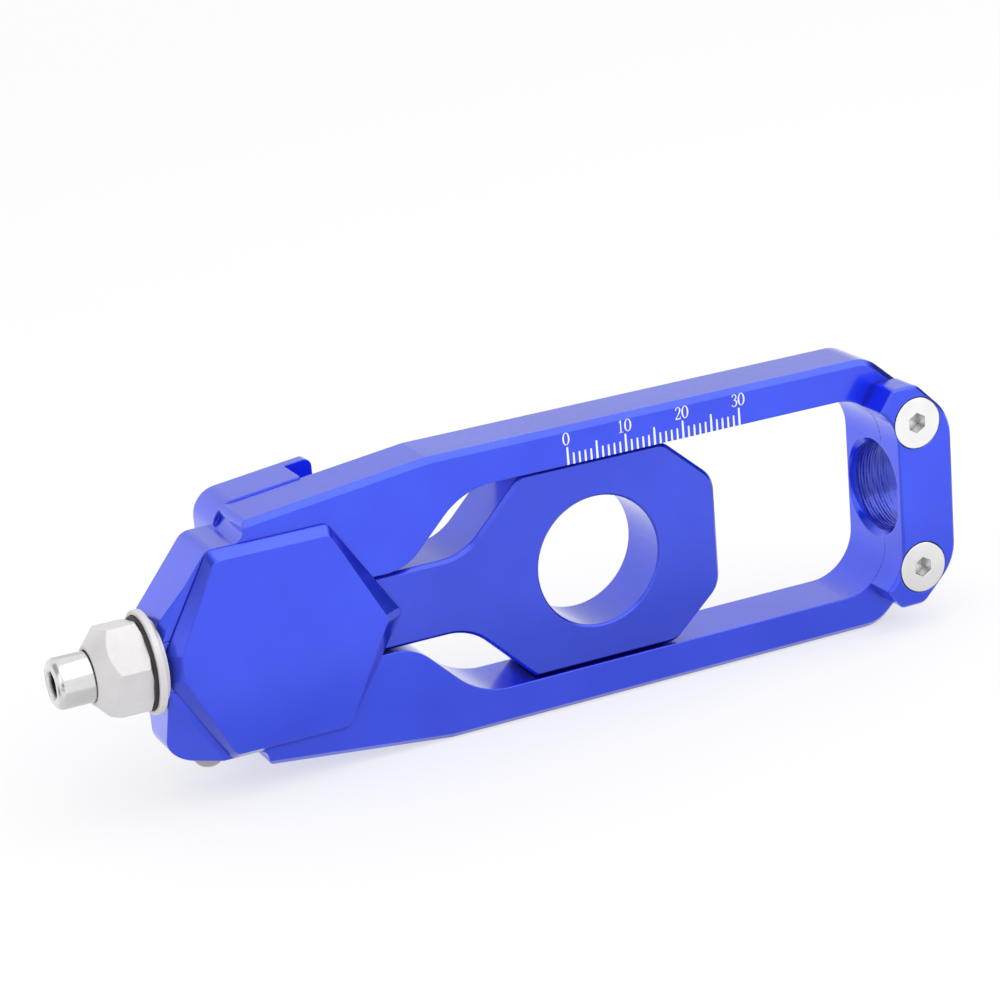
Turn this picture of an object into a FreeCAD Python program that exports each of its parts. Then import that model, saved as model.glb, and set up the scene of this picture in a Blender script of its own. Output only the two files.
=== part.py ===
# Chain adjuster for the rear axle of a motorcycle: a slotted plate that carries a sliding axle
# block, moved along the slot by a captive adjusting bolt.
#
# Frame: X runs along the slot, away from the bolt head; Y points from the outer face towards
# the swing arm; Z is up. The origin is on the axle's centreline, where it meets the plate's
# seat face. Lengths are in millimetres.

import FreeCAD, Part
import math
import os
import re
import Sketcher

# Name, value and meaning of each size. A value that starts with = follows from other sizes.
SIZES = (
    ("plate_thickness", 10.5, "seat face to outer face of the plate"),
    ("rail_top", 22.6, "centreline to the outside of a rail"),
    ("bend_left", 27.1, "axle to the start of the sloping part of the rails"),
    ("slope_drop", 3.4, "height that a rail loses along its slope"),
    ("cove_left", 57.2, "axle to the step between rail and nose"),
    ("cove_radius", 1.6, "hollow in the corner of that step"),
    ("rail_end_radius", 1.1, "rounding of the rail's end at that step"),
    ("shoulder_top", 16.4, "centreline to the top of the nose"),
    ("shoulder_left", 63.1, "axle to the start of the nose's bevelled corner"),
    ("shoulder_radius", 2.5, "rounding of that corner"),
    ("nose_left", 71.4, "axle to the nose's end face"),
    ("nose_flat_top", 6.3, "centreline to the upper end of the end face"),
    ("nose_lower_radius", 3.6, "rounding of the nose's lower corner"),
    ("tail_right", 61.1, "axle to the tail's end face"),
    ("tail_corner_left", 49.8, "axle to the start of the tail's bevelled corners"),
    ("tail_flat_top", 12.6, "centreline to the upper end of the tail's end face"),
    ("tail_radius", 6.0, "rounding of the tail's corners"),
    ("edge_bevel", 0.85, "bevel along the outer edges of the rails"),
    ("slot_half", 16.6, "centreline to a rail's inner face"),
    ("slot_right", 51.3, "axle to the slot's right wall"),
    ("slot_corner", 7.8, "rounding of the slot's right corners"),
    ("window_left", 22.0, "axle to the slanted wall of a window, at the rail"),
    ("window_outer_radius", 12.0, "curve from rail to slanted wall"),
    ("window_inner_radius", 8.0, "curve from slanted wall to neck channel"),
    ("channel_half", 6.3, "centreline to the neck channel's wall"),
    ("channel_left", 55.5, "axle to the neck channel's blind end"),
    ("lug_reach", 7.5, "how far a hook lug stands behind the seat face"),
    ("lug_left", 58.5, "axle to the lug's left end"),
    ("lug_right", 39.5, "axle to the hook's tip"),
    ("lug_inner", 13.6, "centreline to the lug's inner side"),
    ("lug_step", 0.25, "how far the lug stands above the rail"),
    ("lug_radius", 4.2, "rounding of the lug's left end"),
    ("hook_gap", 5.7, "width of the gap under the hook"),
    ("hook_gap_left", 44.0, "axle to the closed end of that gap"),
    ("hook_tip_radius", 1.3, "rounding of the hook's tip"),
    ("cover_inset", 0.3, "how far the cover's flat side lies inside the slot's edge line"),
    ("cover_half", "=slot_half - cover_inset", "centreline to that flat side, at its foot"),
    ("cover_left", 72.5, "axle to the point where the cover's left sides would meet"),
    ("cover_right", 33.8, "axle to the cover's right point, at its foot"),
    ("cover_flat_left", 63.1, "axle to the left end of the cover's flat side"),
    ("cover_flat_right", 44.2, "axle to the right end of the cover's flat side"),
    ("cover_wall", 0.3, "upright part of the cover's side"),
    ("cover_thickness", 2.1, "plate's outer face to the cover's outer face"),
    ("cover_lean", 1.2, "how far the bevel on the flat side draws in"),
    ("cover_face_half", "=cover_half - cover_lean", "centreline to the outer face's edge"),
    ("cover_face_left", 69.2, "axle to the left point of that face"),
    ("cover_face_right", 36.8, "axle to the right point of that face"),
    ("cover_face_flat_left", 62.8, "axle to the left end of that face's straight edge"),
    ("cover_face_flat_right", 44.6, "axle to the right end of that face's straight edge"),
    ("cover_corner_radius", 1.5, "rounding of the cover's four outer corners"),
    ("tongue_length", 2.3, "tongue of the cover that closes the bolt channel at the nose"),
    ("nose_land", 1.05, "flat strip between the cover and the sloping nose"),
    ("nose_upper_slope", 54.0, "slope of the nose's upper part to the plate's face, in degrees"),
    ("nose_lower_slope", 41.0, "slope of the nose's lower part to the plate's face, in degrees"),
    ("line_depth", 6.0, "seat face to the adjusting bolt's axis"),
    ("bolt_radius", 3.9, "bolt outside the nose"),
    ("bolt_tip_left", 87.2, "axle to the bolt's outer end"),
    ("bolt_bevel", 0.7, "bevel at the bolt's ends"),
    ("socket_flats", 4.0, "hexagon socket of the bolt, across flats"),
    ("socket_depth", 4.5, "depth of that socket"),
    ("collar_radius", 4.8, "collar that holds the bolt in the nose"),
    ("collar_left", 62.8, "axle to the collar's left face"),
    ("collar_width", 3.0, "length of the collar"),
    ("screw_radius", 3.0, "threaded part of the bolt, inside the block"),
    ("screw_right", 16.5, "axle to the bolt's inner end"),
    ("fit_gap", 0.05, "radial clearance of a running fit"),
    ("bolt_gap", 0.1, "radial clearance of the bolt in the nose"),
    ("free_gap", 0.3, "clearance where two pieces pass each other"),
    ("block_play", 0.15, "clearance between a rail and the block's guided edge"),
    ("block_half", "=slot_half - block_play", "centreline to that guided edge"),
    ("block_right", 20.95, "axle to the block's right face"),
    ("block_flat_right", 12.6, "axle to the right end of the guided edge"),
    ("block_corner_up", 9.0, "centreline to the lower end of the right bevel"),
    ("block_flat_left", 12.1, "axle to the left end of the guided edge"),
    ("block_corner_radius", 4.6, "rounding of the block's right corners"),
    ("block_top_radius", 3.2, "rounding where the guided edge meets the right bevel"),
    ("block_neck_radius", 9.0, "curve from block to neck"),
    ("block_recess", 0.5, "block's outer face below the plate's outer face"),
    ("block_bevel", 0.55, "bevel round the block's outer face"),
    ("neck_half", 6.0, "half height of the neck"),
    ("neck_left", 50.2, "axle to the neck's end"),
    ("axle_radius", 10.4, "hole for the axle"),
    ("axle_bevel", 0.3, "bevel of that hole"),
    ("axle_wall", 1.6, "wall left between the thread's end and the axle hole"),
    ("cap_thickness", 5.5, "clamp cap, front to back"),
    ("cap_top", 18.4, "centreline to the cap's upper edge"),
    ("cap_toe_left", 47.9, "axle to the cap's toe beside the slot"),
    ("cap_toe_up", 14.6, "centreline to that toe"),
    ("cap_flat_left", 50.7, "axle to the left end of the cap's upper edge"),
    ("cap_flat_right", 55.0, "axle to the right end of the cap's upper edge"),
    ("cap_side_top", 12.3, "centreline to the upper end of the cap's outer side"),
    ("cap_corner_radius", 2.2, "rounding of the cap's upper corners"),
    ("cap_side_radius", 8.0, "rounding between the cap's bevels and its outer side"),
    ("cap_bevel", 0.4, "bevel round the cap's outer face"),
    ("rod_radius", 7.3, "bore for the rod that the tail clamps"),
    ("rod_depth", 7.6, "seat face to that bore's axis"),
    ("mouth_stretch", 1.0, "how far the bore's mouth reaches above and below the bore"),
    ("mouth_depth", 1.1, "depth of that mouth"),
    ("clamp_screw_x", 54.8, "axle to the clamp screws"),
    ("clamp_screw_up", 12.15, "centreline to a clamp screw"),
    ("clamp_screw_radius", 2.0, "thread of a clamp screw"),
    ("clamp_head_radius", 4.15, "head of a clamp screw"),
    ("clamp_screw_length", 13.5, "clamp screw, with its head"),
    ("clamp_socket_flats", 2.9, "socket of a clamp screw, across flats"),
    ("cover_screw_left", 61.5, "axle to the outer pair of cover screws"),
    ("cover_screw_right", 46.5, "axle to the inner pair of cover screws"),
    ("cover_screw_up", 9.7, "centreline to a cover screw"),
    ("cover_screw_radius", 1.5, "thread of a cover screw"),
    ("cover_head_radius", 2.8, "head of a cover screw"),
    ("cover_screw_length", 11.4, "cover screw, with its head"),
    ("cover_socket_flats", 2.0, "socket of a cover screw, across flats"),
    ("boss_radius", 3.0, "locating boss behind the cover"),
    ("boss_height", 1.8, "height of that boss"),
    ("head_sink", 0.15, "how far a cover screw's head lies below the seat face"),
    ("head_ring", 0.2, "gap round a countersunk head"),
    ("nut_flats", 13.0, "lock nut, across flats"),
    ("nut_length", 7.7, "lock nut, nose to seat"),
    ("nut_cone_length", 2.9, "length of the nut's cone"),
    ("nut_nose_radius", 4.4, "the cone's small end"),
    ("nut_seat_radius", 6.7, "round seat of the nut"),
    ("nut_seat_length", 0.5, "length of the bevel behind that seat"),
    ("washer_radius", 7.9, "washer under the lock nut"),
    ("washer_thickness", 2.0, "nose to the washer's left end"),
    ("washer_round", 0.25, "rounding of the washer's rim"),
    ("washer_hub_radius", 6.4, "narrower foot of the washer, on the nose"),
    ("washer_hub_length", 0.8, "length of that foot"),
    ("washer_lip", 0.7, "width of the lip round the washer's recess"),
    ("washer_recess", 0.4, "depth of the recess that holds the ring"),
    ("ring_gap", 0.1, "gap between that lip and the ring"),
    ("ring_thickness", 0.9, "rubber ring between nut and washer, along the bolt"),
    ("nut_turned", 17.7, "turn of the nut from corners straight up and down, in degrees"),
    ("lock_screw_left", 65.1, "axle to the lock screw under the nose"),
    ("lock_screw_radius", 1.5, "thread of the lock screw"),
    ("lock_head_radius", 2.4, "head of the lock screw"),
    ("lock_head_height", 2.7, "height of that head"),
    ("lock_socket_flats", 2.0, "socket of the lock screw, across flats"),
)

doc = FreeCAD.newDocument("ChainAdjuster")
sheet = doc.addObject("Spreadsheet::Sheet", "Sizes")
for row, (alias, number, meaning) in enumerate(SIZES, start=1):
    sheet.set(f"A{row}", meaning)
    sheet.set(f"B{row}", str(number))
    sheet.setAlias(f"B{row}", alias)
doc.recompute()

ALIASES = {alias for alias, number, meaning in SIZES}
TINY = 1e-3


def bound(formula):
    """The formula with each size's name pointing at its cell."""
    return re.sub(
        r"[a-z_]+",
        lambda word: "Sizes." + word.group() if word.group() in ALIASES else word.group(),
        str(formula),
    )


def value(formula):
    """The formula's number, in millimetres or degrees."""
    return float(sheet.evalExpression(bound(formula)))


def new_body(label):
    body = doc.addObject("PartDesign::Body", label)
    body.Label = label
    return body


def origin_item(body, role):
    return next(item for item in body.Origin.OriginFeatures if item.Role == role)


def new_sketch(body, plane, name, level="0"):
    """A sketch on one of the body's origin planes, moved out along the plane's normal."""
    sketch = body.newObject("Sketcher::SketchObject", name)
    sketch.AttachmentSupport = (origin_item(body, plane), [""])
    sketch.MapMode = "FlatFace"
    sketch.setExpression("AttachmentOffset.Base.z", bound(level))
    return sketch


def hold(sketch, kind, where, formula):
    """Adds a named constraint that takes its number from the sheet."""
    index = sketch.addConstraint(Sketcher.Constraint(kind, *where, value(formula)))
    name = f"{kind.lower()}_{index}"
    sketch.renameConstraint(index, name)
    sketch.setExpression("Constraints." + name, bound(formula))


def pin(sketch, item, point, across, up):
    hold(sketch, "DistanceX", (-1, 1, item, point), across)
    hold(sketch, "DistanceY", (-1, 1, item, point), up)


def outline(sketch, corners):
    """A closed loop through (across, up) corners; a third entry rounds the corner."""
    first = sketch.GeometryCount
    count = len(corners)
    places = [FreeCAD.Vector(value(c[0]), value(c[1]), 0) for c in corners]
    for index in range(count):
        sketch.addGeometry(Part.LineSegment(places[index], places[(index + 1) % count]), False)
    for index, corner in enumerate(corners):
        after = first + (index + 1) % count
        sketch.addConstraint(Sketcher.Constraint("Coincident", first + index, 2, after, 1))
        pin(sketch, first + index, 1, corner[0], corner[1])
    for index, corner in enumerate(corners):
        if len(corner) == 3:
            sketch.fillet(first + index, 1, value(corner[2]), True, True)
            arcs = [i for i, g in enumerate(sketch.Geometry) if isinstance(g, Part.ArcOfCircle)]
            hold(sketch, "Radius", (arcs[-1],), corner[2])


def circle(sketch, across, up, radius):
    centre = FreeCAD.Vector(value(across), value(up), 0)
    item = sketch.addGeometry(Part.Circle(centre, FreeCAD.Vector(0, 0, 1), value(radius)), False)
    pin(sketch, item, 3, across, up)
    hold(sketch, "Radius", (item,), radius)


def hexagon(sketch, across, up, flats, turned_by="0"):
    """A hexagon with two flats parallel to the sketch's second axis, then turned by the angle."""
    corners = []
    for step in range(6):
        turn = f"{60 * step + 30} + {turned_by}"
        corners.append(
            (
                f"{across} + ({flats}) / 2 / cos(30) * cos({turn})",
                f"{up} + ({flats}) / 2 / cos(30) * sin({turn})",
            )
        )
    outline(sketch, corners)


def open_channel(sketch, depth, radius, mouth):
    """A U that lies open towards the outer face: half circle about the bolt's line."""
    middle = value(depth)
    half = value(radius)
    edge = value(mouth)
    points = [
        FreeCAD.Vector(edge, half, 0),
        FreeCAD.Vector(middle, half, 0),
        FreeCAD.Vector(middle, -half, 0),
        FreeCAD.Vector(edge, -half, 0),
    ]
    top = sketch.addGeometry(Part.LineSegment(points[0], points[1]), False)
    round_end = Part.Circle(FreeCAD.Vector(middle, 0, 0), FreeCAD.Vector(0, 0, 1), half)
    arc = sketch.addGeometry(Part.ArcOfCircle(round_end, -math.pi / 2, math.pi / 2), False)
    bottom = sketch.addGeometry(Part.LineSegment(points[2], points[3]), False)
    side = sketch.addGeometry(Part.LineSegment(points[3], points[0]), False)
    for item, end, other, start in (
        (top, 2, arc, 2),
        (arc, 1, bottom, 1),
        (bottom, 2, side, 1),
        (side, 2, top, 1),
    ):
        sketch.addConstraint(Sketcher.Constraint("Coincident", item, end, other, start))
    pin(sketch, arc, 3, depth, "0")
    hold(sketch, "Radius", (arc,), radius)
    hold(sketch, "DistanceX", (-1, 1, top, 2), depth)
    hold(sketch, "DistanceX", (-1, 1, bottom, 1), depth)
    pin(sketch, top, 1, mouth, radius)
    pin(sketch, bottom, 2, mouth, f"-({radius})")


def rod_bore(body, name, run):
    """Round bore along X for the clamped rod, with a taller, tapering mouth at the slot."""
    rod = new_sketch(body, "YZ_Plane", name, "tail_right")
    circle(rod, "-rod_depth", "0", "rod_radius")
    pocket(body, rod, run)
    for end, sign in (("Upper", ""), ("Lower", "-")):
        mouth = new_sketch(body, "YZ_Plane", name + end + "Mouth", "slot_right")
        circle(mouth, "-rod_depth", f"{sign}mouth_stretch", "rod_radius")
        pocket(body, mouth, "mouth_depth", backwards=True, lean="-45")


def change(body, feature, grows):
    """Recomputes and makes sure that the feature added or removed material."""
    before = body.Tip.Shape.Volume if body.Tip and not body.Tip.Shape.isNull() else 0.0
    body.Tip = feature
    doc.recompute()
    after = feature.Shape.Volume
    if (after - before) * (1 if grows else -1) <= 0:
        raise RuntimeError(f"{body.Label}: {feature.Name} changed nothing")
    return feature


def pad(body, sketch, length, backwards=False, lean=None):
    before = body.Tip
    feature = body.newObject("PartDesign::Pad", sketch.Name + "Pad")
    body.Tip = before
    feature.Profile = sketch
    feature.Reversed = backwards
    feature.setExpression("Length", bound(length))
    if lean is not None:
        feature.setExpression("TaperAngle", bound(lean))
    return change(body, feature, True)


def pocket(body, sketch, length, backwards=False, both=False, lean=None):
    before = body.Tip
    feature = body.newObject("PartDesign::Pocket", sketch.Name + "Cut")
    body.Tip = before
    feature.Profile = sketch
    feature.Reversed = backwards
    feature.Midplane = both
    feature.setExpression("Length", bound(length))
    if lean is not None:
        feature.setExpression("TaperAngle", bound(lean))
    return change(body, feature, False)


def turned(body, sketch, kind, axis="X_Axis"):
    """A full turn of the sketch about one of the body's axes."""
    before = body.Tip
    feature = body.newObject("PartDesign::" + kind, sketch.Name + kind)
    body.Tip = before
    feature.Profile = sketch
    feature.ReferenceAxis = (origin_item(body, axis), [""])
    feature.Angle = 360
    return change(body, feature, kind == "Revolution")


def dressed(body, kind, wanted, size):
    """A chamfer or fillet on the edges of the current solid that pass the test."""
    base = body.Tip
    names = [
        f"Edge{number}" for number, edge in enumerate(base.Shape.Edges, start=1) if wanted(edge)
    ]
    if not names:
        raise RuntimeError(f"{body.Label}: no edge to dress")
    feature = body.newObject("PartDesign::" + kind, body.Label + kind)
    feature.Base = (base, names)
    feature.setExpression("Radius" if kind == "Fillet" else "Size", bound(size))
    body.Tip = feature
    doc.recompute()
    if feature.Shape.isNull() or not feature.Shape.isValid():
        raise RuntimeError(f"{body.Label}: the {kind.lower()} of {size} fails")
    return feature


def middle_of(edge):
    return edge.valueAt((edge.FirstParameter + edge.LastParameter) / 2)


def ends_of(edge):
    return [edge.valueAt(edge.FirstParameter), edge.valueAt(edge.LastParameter)]


def lies_at_depth(edge, depth):
    """True if the whole edge lies in the plane Y = depth."""
    return all(abs(point.y - depth) < TINY for point in ends_of(edge) + [middle_of(edge)])


def is_circle(edge, radius):
    """True for a full or partial circle of this radius."""
    return isinstance(edge.Curve, Part.Circle) and abs(edge.Curve.Radius - radius) < TINY


# The rails slope down towards the nose: height of their outer side at a distance left of the axle.
def rail_height(left):
    share = f"(({left}) - bend_left) / (cove_left - bend_left)"
    return f"rail_top - slope_drop * {share}"


# Places of the four cover screws and the two clamp screws, seen from the front.
COVER_SCREWS = [
    (f"-{side}", f"{sign}cover_screw_up")
    for side in ("cover_screw_left", "cover_screw_right")
    for sign in ("", "-")
]
CLAMP_SCREWS = [("clamp_screw_x", "clamp_screw_up"), ("clamp_screw_x", "-clamp_screw_up")]


# Plate
def plate_blank(body):
    """Outline of nose, coves, sloping rails and tail, with bevelled rail edges."""
    sketch = new_sketch(body, "XZ_Plane", "PlateOutline")
    cove_top = rail_height("cove_left")
    outline(
        sketch,
        [
            ("-nose_left", "nose_flat_top"),
            ("-shoulder_left", "shoulder_top", "shoulder_radius"),
            ("-cove_left", "shoulder_top", "cove_radius"),
            ("-cove_left", cove_top),
            ("-bend_left", "rail_top"),
            ("tail_corner_left", "rail_top", "tail_radius"),
            ("tail_right", "tail_flat_top", "tail_radius"),
            ("tail_right", "-tail_flat_top", "tail_radius"),
            ("tail_corner_left", "-rail_top", "tail_radius"),
            ("-bend_left", "-rail_top"),
            ("-cove_left", f"-({cove_top})"),
            ("-cove_left", "-shoulder_top", "cove_radius"),
            ("-nose_left", "-shoulder_top", "nose_lower_radius"),
        ],
    )
    pad(body, sketch, "plate_thickness")
    cove = -value("cove_left")
    tail = value("tail_right")

    def along_rail(edge):
        in_face = lies_at_depth(edge, 0) or lies_at_depth(edge, -value("plate_thickness"))
        ends = ends_of(edge)
        right_of_cove = all(point.x > cove - TINY for point in ends)
        upright = abs(ends[0].x - ends[1].x) < TINY
        return in_face and right_of_cove and not upright and middle_of(edge).x < tail - TINY

    dressed(body, "Chamfer", along_rail, "edge_bevel")
    corner = value(cove_top)

    def at_rail_end(edge):
        ends = ends_of(edge)
        in_place = all(
            abs(point.x - cove) < TINY and abs(abs(point.z) - corner) < TINY for point in ends
        )
        return in_place and abs(ends[0].y - ends[1].y) > 1

    dressed(body, "Fillet", at_rail_end, "rail_end_radius")


def nose_slope(body):
    """The nose falls away from the cover's two left sides, each part at its own slope."""
    lean = "(cover_left - cover_flat_left) / cover_half"
    slant = f"sqrt(1 + pow({lean}; 2))"
    for name, sign, slope in (
        ("NoseUpper", "", "nose_upper_slope"),
        ("NoseLower", "-", "nose_lower_slope"),
    ):
        sketches = []
        for end, depth in (("Top", "0"), ("Floor", "plate_thickness")):
            tip = f"(cover_left + (nose_land + ({depth}) / tan({slope})) * {slant})"
            sketch = new_sketch(body, "XZ_Plane", name + end, f"plate_thickness - {depth}")
            outline(
                sketch,
                [
                    (f"-({tip} + {lean} * 20)", f"{sign}(-20)"),
                    (f"-({tip} - {lean} * 40)", f"{sign}40"),
                    (f"-({tip} + 60)", f"{sign}40"),
                    (f"-({tip} + 60)", f"{sign}(-20)"),
                ],
            )
            sketches.append(sketch)
        before = body.Tip
        loft = body.newObject("PartDesign::SubtractiveLoft", name + "Slope")
        body.Tip = before
        loft.Profile = sketches[0]
        loft.Sections = [sketches[1]]
        loft.Ruled = True
        change(body, loft, False)


def plate_opening(body):
    """Slot, curved windows and neck channel in one profile, right through the plate."""
    waist = "window_left + slot_half - channel_half"
    sketch = new_sketch(body, "XZ_Plane", "PlateOpening", "plate_thickness")
    outline(
        sketch,
        [
            ("-channel_left", "channel_half"),
            (f"-({waist})", "channel_half", "window_inner_radius"),
            ("-window_left", "slot_half", "window_outer_radius"),
            ("slot_right", "slot_half", "slot_corner"),
            ("slot_right", "-slot_half", "slot_corner"),
            ("-window_left", "-slot_half", "window_outer_radius"),
            (f"-({waist})", "-channel_half", "window_inner_radius"),
            ("-channel_left", "-channel_half"),
        ],
    )
    pocket(body, sketch, "plate_thickness")


def hook_lugs(body):
    """Two lugs behind the plate that hook over the walls of the swing arm."""
    tops = {
        name: f"{rail_height(name)} + lug_step" for name in ("lug_left", "hook_gap_left", "lug_right")
    }
    for name, sign in (("Upper", ""), ("Lower", "-")):
        foot = new_sketch(body, "XZ_Plane", name + "LugFoot", "edge_bevel")
        outline(
            foot,
            [
                ("-lug_left", f"{sign}lug_inner"),
                ("-lug_left", f"{sign}({tops['lug_left']})", "lug_radius"),
                ("-hook_gap_left", f"{sign}({tops['hook_gap_left']})"),
                ("-hook_gap_left", f"{sign}lug_inner"),
            ],
        )
        pad(body, foot, "hook_gap + edge_bevel", backwards=True)
        head = new_sketch(body, "XZ_Plane", name + "LugHead", "-hook_gap")
        outline(
            head,
            [
                ("-lug_left", f"{sign}lug_inner"),
                ("-lug_left", f"{sign}({tops['lug_left']})", "lug_radius"),
                ("-lug_right", f"{sign}({tops['lug_right']})", "hook_tip_radius"),
                ("-lug_right", f"{sign}lug_inner"),
            ],
        )
        pad(body, head, "lug_reach - hook_gap", backwards=True)


def bolt_seat(body):
    """Channels for bolt, collar and thread, open under the cover."""
    mouth = "-plate_thickness - 1"
    runs = (
        ("BoltChannel", "-collar_left - fit_gap", "nose_left", "bolt_radius + bolt_gap"),
        (
            "CollarChannel",
            "-collar_left + collar_width + fit_gap",
            "collar_left + fit_gap",
            "collar_radius + free_gap",
        ),
        (
            "ThreadChannel",
            "-channel_left",
            "collar_left - collar_width - fit_gap",
            "screw_radius + free_gap",
        ),
    )
    for name, right, left, radius in runs:
        sketch = new_sketch(body, "YZ_Plane", name, right)
        open_channel(sketch, "-line_depth", radius, mouth)
        pocket(body, sketch, f"{right} + {left}")


def plate_holes(body):
    """Rod bore in the tail, clamp screw holes, cover screw holes and lock screw hole."""
    rod_bore(body, "RodBore", "tail_right - slot_right + 2")

    clamp = new_sketch(body, "XZ_Plane", "ClampHoles", "plate_thickness")
    for across, up in CLAMP_SCREWS:
        circle(clamp, across, up, "clamp_screw_radius + fit_gap")
    pocket(body, clamp, "clamp_screw_length - cap_thickness + 0.5")

    boss = new_sketch(body, "XZ_Plane", "BossSeats", "plate_thickness")
    for across, up in COVER_SCREWS:
        circle(boss, across, up, "boss_radius + fit_gap")
    pocket(body, boss, "boss_height + 0.2")

    through = new_sketch(body, "XZ_Plane", "CoverHoles", "plate_thickness")
    for across, up in COVER_SCREWS:
        circle(through, across, up, "cover_screw_radius + fit_gap")
    pocket(body, through, "plate_thickness")
    hole = value("cover_screw_radius + fit_gap")
    dressed(
        body,
        "Chamfer",
        lambda edge: is_circle(edge, hole) and lies_at_depth(edge, 0),
        "cover_head_radius + head_ring - cover_screw_radius - fit_gap",
    )

    lock = new_sketch(body, "XY_Plane", "LockHole", "-shoulder_top")
    circle(lock, "-lock_screw_left", "-line_depth", "lock_screw_radius + fit_gap")
    pocket(body, lock, "shoulder_top - bolt_radius", backwards=True)


def make_plate():
    body = new_body("plate")
    plate_blank(body)
    nose_slope(body)
    plate_opening(body)
    hook_lugs(body)
    bolt_seat(body)
    plate_holes(body)
    return body


# Hexagonal cover over the bolt's collar
def make_cover():
    body = new_body("cover")
    end = "(nose_left - fit_gap)"
    up = f"cover_half * (cover_left - {end}) / (cover_left - cover_flat_left)"
    foot = [
        (f"-{end}", f"-({up})"),
        (f"-{end}", up),
        ("-cover_flat_left", "cover_half", "cover_corner_radius"),
        ("-cover_flat_right", "cover_half", "cover_corner_radius"),
        ("-cover_right", "0", "cover_corner_radius"),
        ("-cover_flat_right", "-cover_half", "cover_corner_radius"),
        ("-cover_flat_left", "-cover_half", "cover_corner_radius"),
    ]
    face = [
        ("-cover_face_left", f"-({up})"),
        ("-cover_face_left", up),
        ("-cover_face_flat_left", "cover_face_half", "cover_corner_radius"),
        ("-cover_face_flat_right", "cover_face_half", "cover_corner_radius"),
        ("-cover_face_right", "0", "cover_corner_radius"),
        ("-cover_face_flat_right", "-cover_face_half", "cover_corner_radius"),
        ("-cover_face_flat_left", "-cover_face_half", "cover_corner_radius"),
    ]
    base = new_sketch(body, "XZ_Plane", "CoverBase", "plate_thickness")
    outline(base, foot)
    pad(body, base, "cover_wall")
    sections = []
    for name, level, corners in (
        ("CoverFoot", "plate_thickness + cover_wall", foot),
        ("CoverFace", "plate_thickness + cover_thickness", face),
    ):
        section = new_sketch(body, "XZ_Plane", name, level)
        outline(section, corners)
        sections.append(section)
    before = body.Tip
    loft = body.newObject("PartDesign::AdditiveLoft", "CoverBevel")
    body.Tip = before
    loft.Profile = sections[0]
    loft.Sections = [sections[1]]
    loft.Ruled = True
    change(body, loft, True)

    tongue = new_sketch(body, "XZ_Plane", "NoseTongue", "plate_thickness")
    half = "(bolt_radius + bolt_gap - fit_gap)"
    outline(
        tongue,
        [
            (f"-{end}", f"-{half}"),
            (f"-{end} + tongue_length", f"-{half}"),
            (f"-{end} + tongue_length", half),
            (f"-{end}", half),
        ],
    )
    pad(body, tongue, "plate_thickness - line_depth - bolt_radius - bolt_gap", backwards=True)

    bosses = new_sketch(body, "XZ_Plane", "Bosses", "plate_thickness")
    for across, up in COVER_SCREWS:
        circle(bosses, across, up, "boss_radius")
    pad(body, bosses, "boss_height", backwards=True)

    holes = new_sketch(body, "XZ_Plane", "CoverScrewHoles", "plate_thickness - boss_height")
    for across, up in COVER_SCREWS:
        circle(holes, across, up, "cover_screw_radius + fit_gap")
    deep = "cover_screw_length + head_sink - plate_thickness + boss_height + 0.3"
    pocket(body, holes, deep, backwards=True)

    collar = new_sketch(body, "YZ_Plane", "CollarRelief", "-collar_left + collar_width + fit_gap")
    circle(collar, "-line_depth", "0", "collar_radius + free_gap")
    pocket(body, collar, "collar_width + 2 * fit_gap")
    return body


# Axle block with its neck
def make_block():
    body = new_body("axle_block")
    shoulder = "block_flat_left + block_half - neck_half"
    sketch = new_sketch(body, "XZ_Plane", "BlockOutline")
    outline(
        sketch,
        [
            ("-neck_left", "neck_half"),
            (f"-({shoulder})", "neck_half", "block_neck_radius"),
            ("-block_flat_left", "block_half"),
            ("block_flat_right", "block_half", "block_top_radius"),
            ("block_right", "block_corner_up", "block_corner_radius"),
            ("block_right", "-block_corner_up", "block_corner_radius"),
            ("block_flat_right", "-block_half", "block_top_radius"),
            ("-block_flat_left", "-block_half"),
            (f"-({shoulder})", "-neck_half", "block_neck_radius"),
            ("-neck_left", "-neck_half"),
        ],
    )
    pad(body, sketch, "plate_thickness - block_recess")
    front = -value("plate_thickness - block_recess")
    dressed(body, "Chamfer", lambda edge: lies_at_depth(edge, front), "block_bevel")

    axle = new_sketch(body, "XZ_Plane", "AxleHole", "plate_thickness - block_recess")
    circle(axle, "0", "0", "axle_radius")
    pocket(body, axle, "plate_thickness - block_recess")
    hole = value("axle_radius")
    dressed(
        body,
        "Chamfer",
        lambda edge: is_circle(edge, hole) and lies_at_depth(edge, front),
        "axle_bevel",
    )

    thread = new_sketch(body, "YZ_Plane", "ThreadHole", "-(axle_radius + axle_wall)")
    circle(thread, "-line_depth", "0", "screw_radius + fit_gap")
    pocket(body, thread, "neck_left - axle_radius - axle_wall")
    return body


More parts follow.
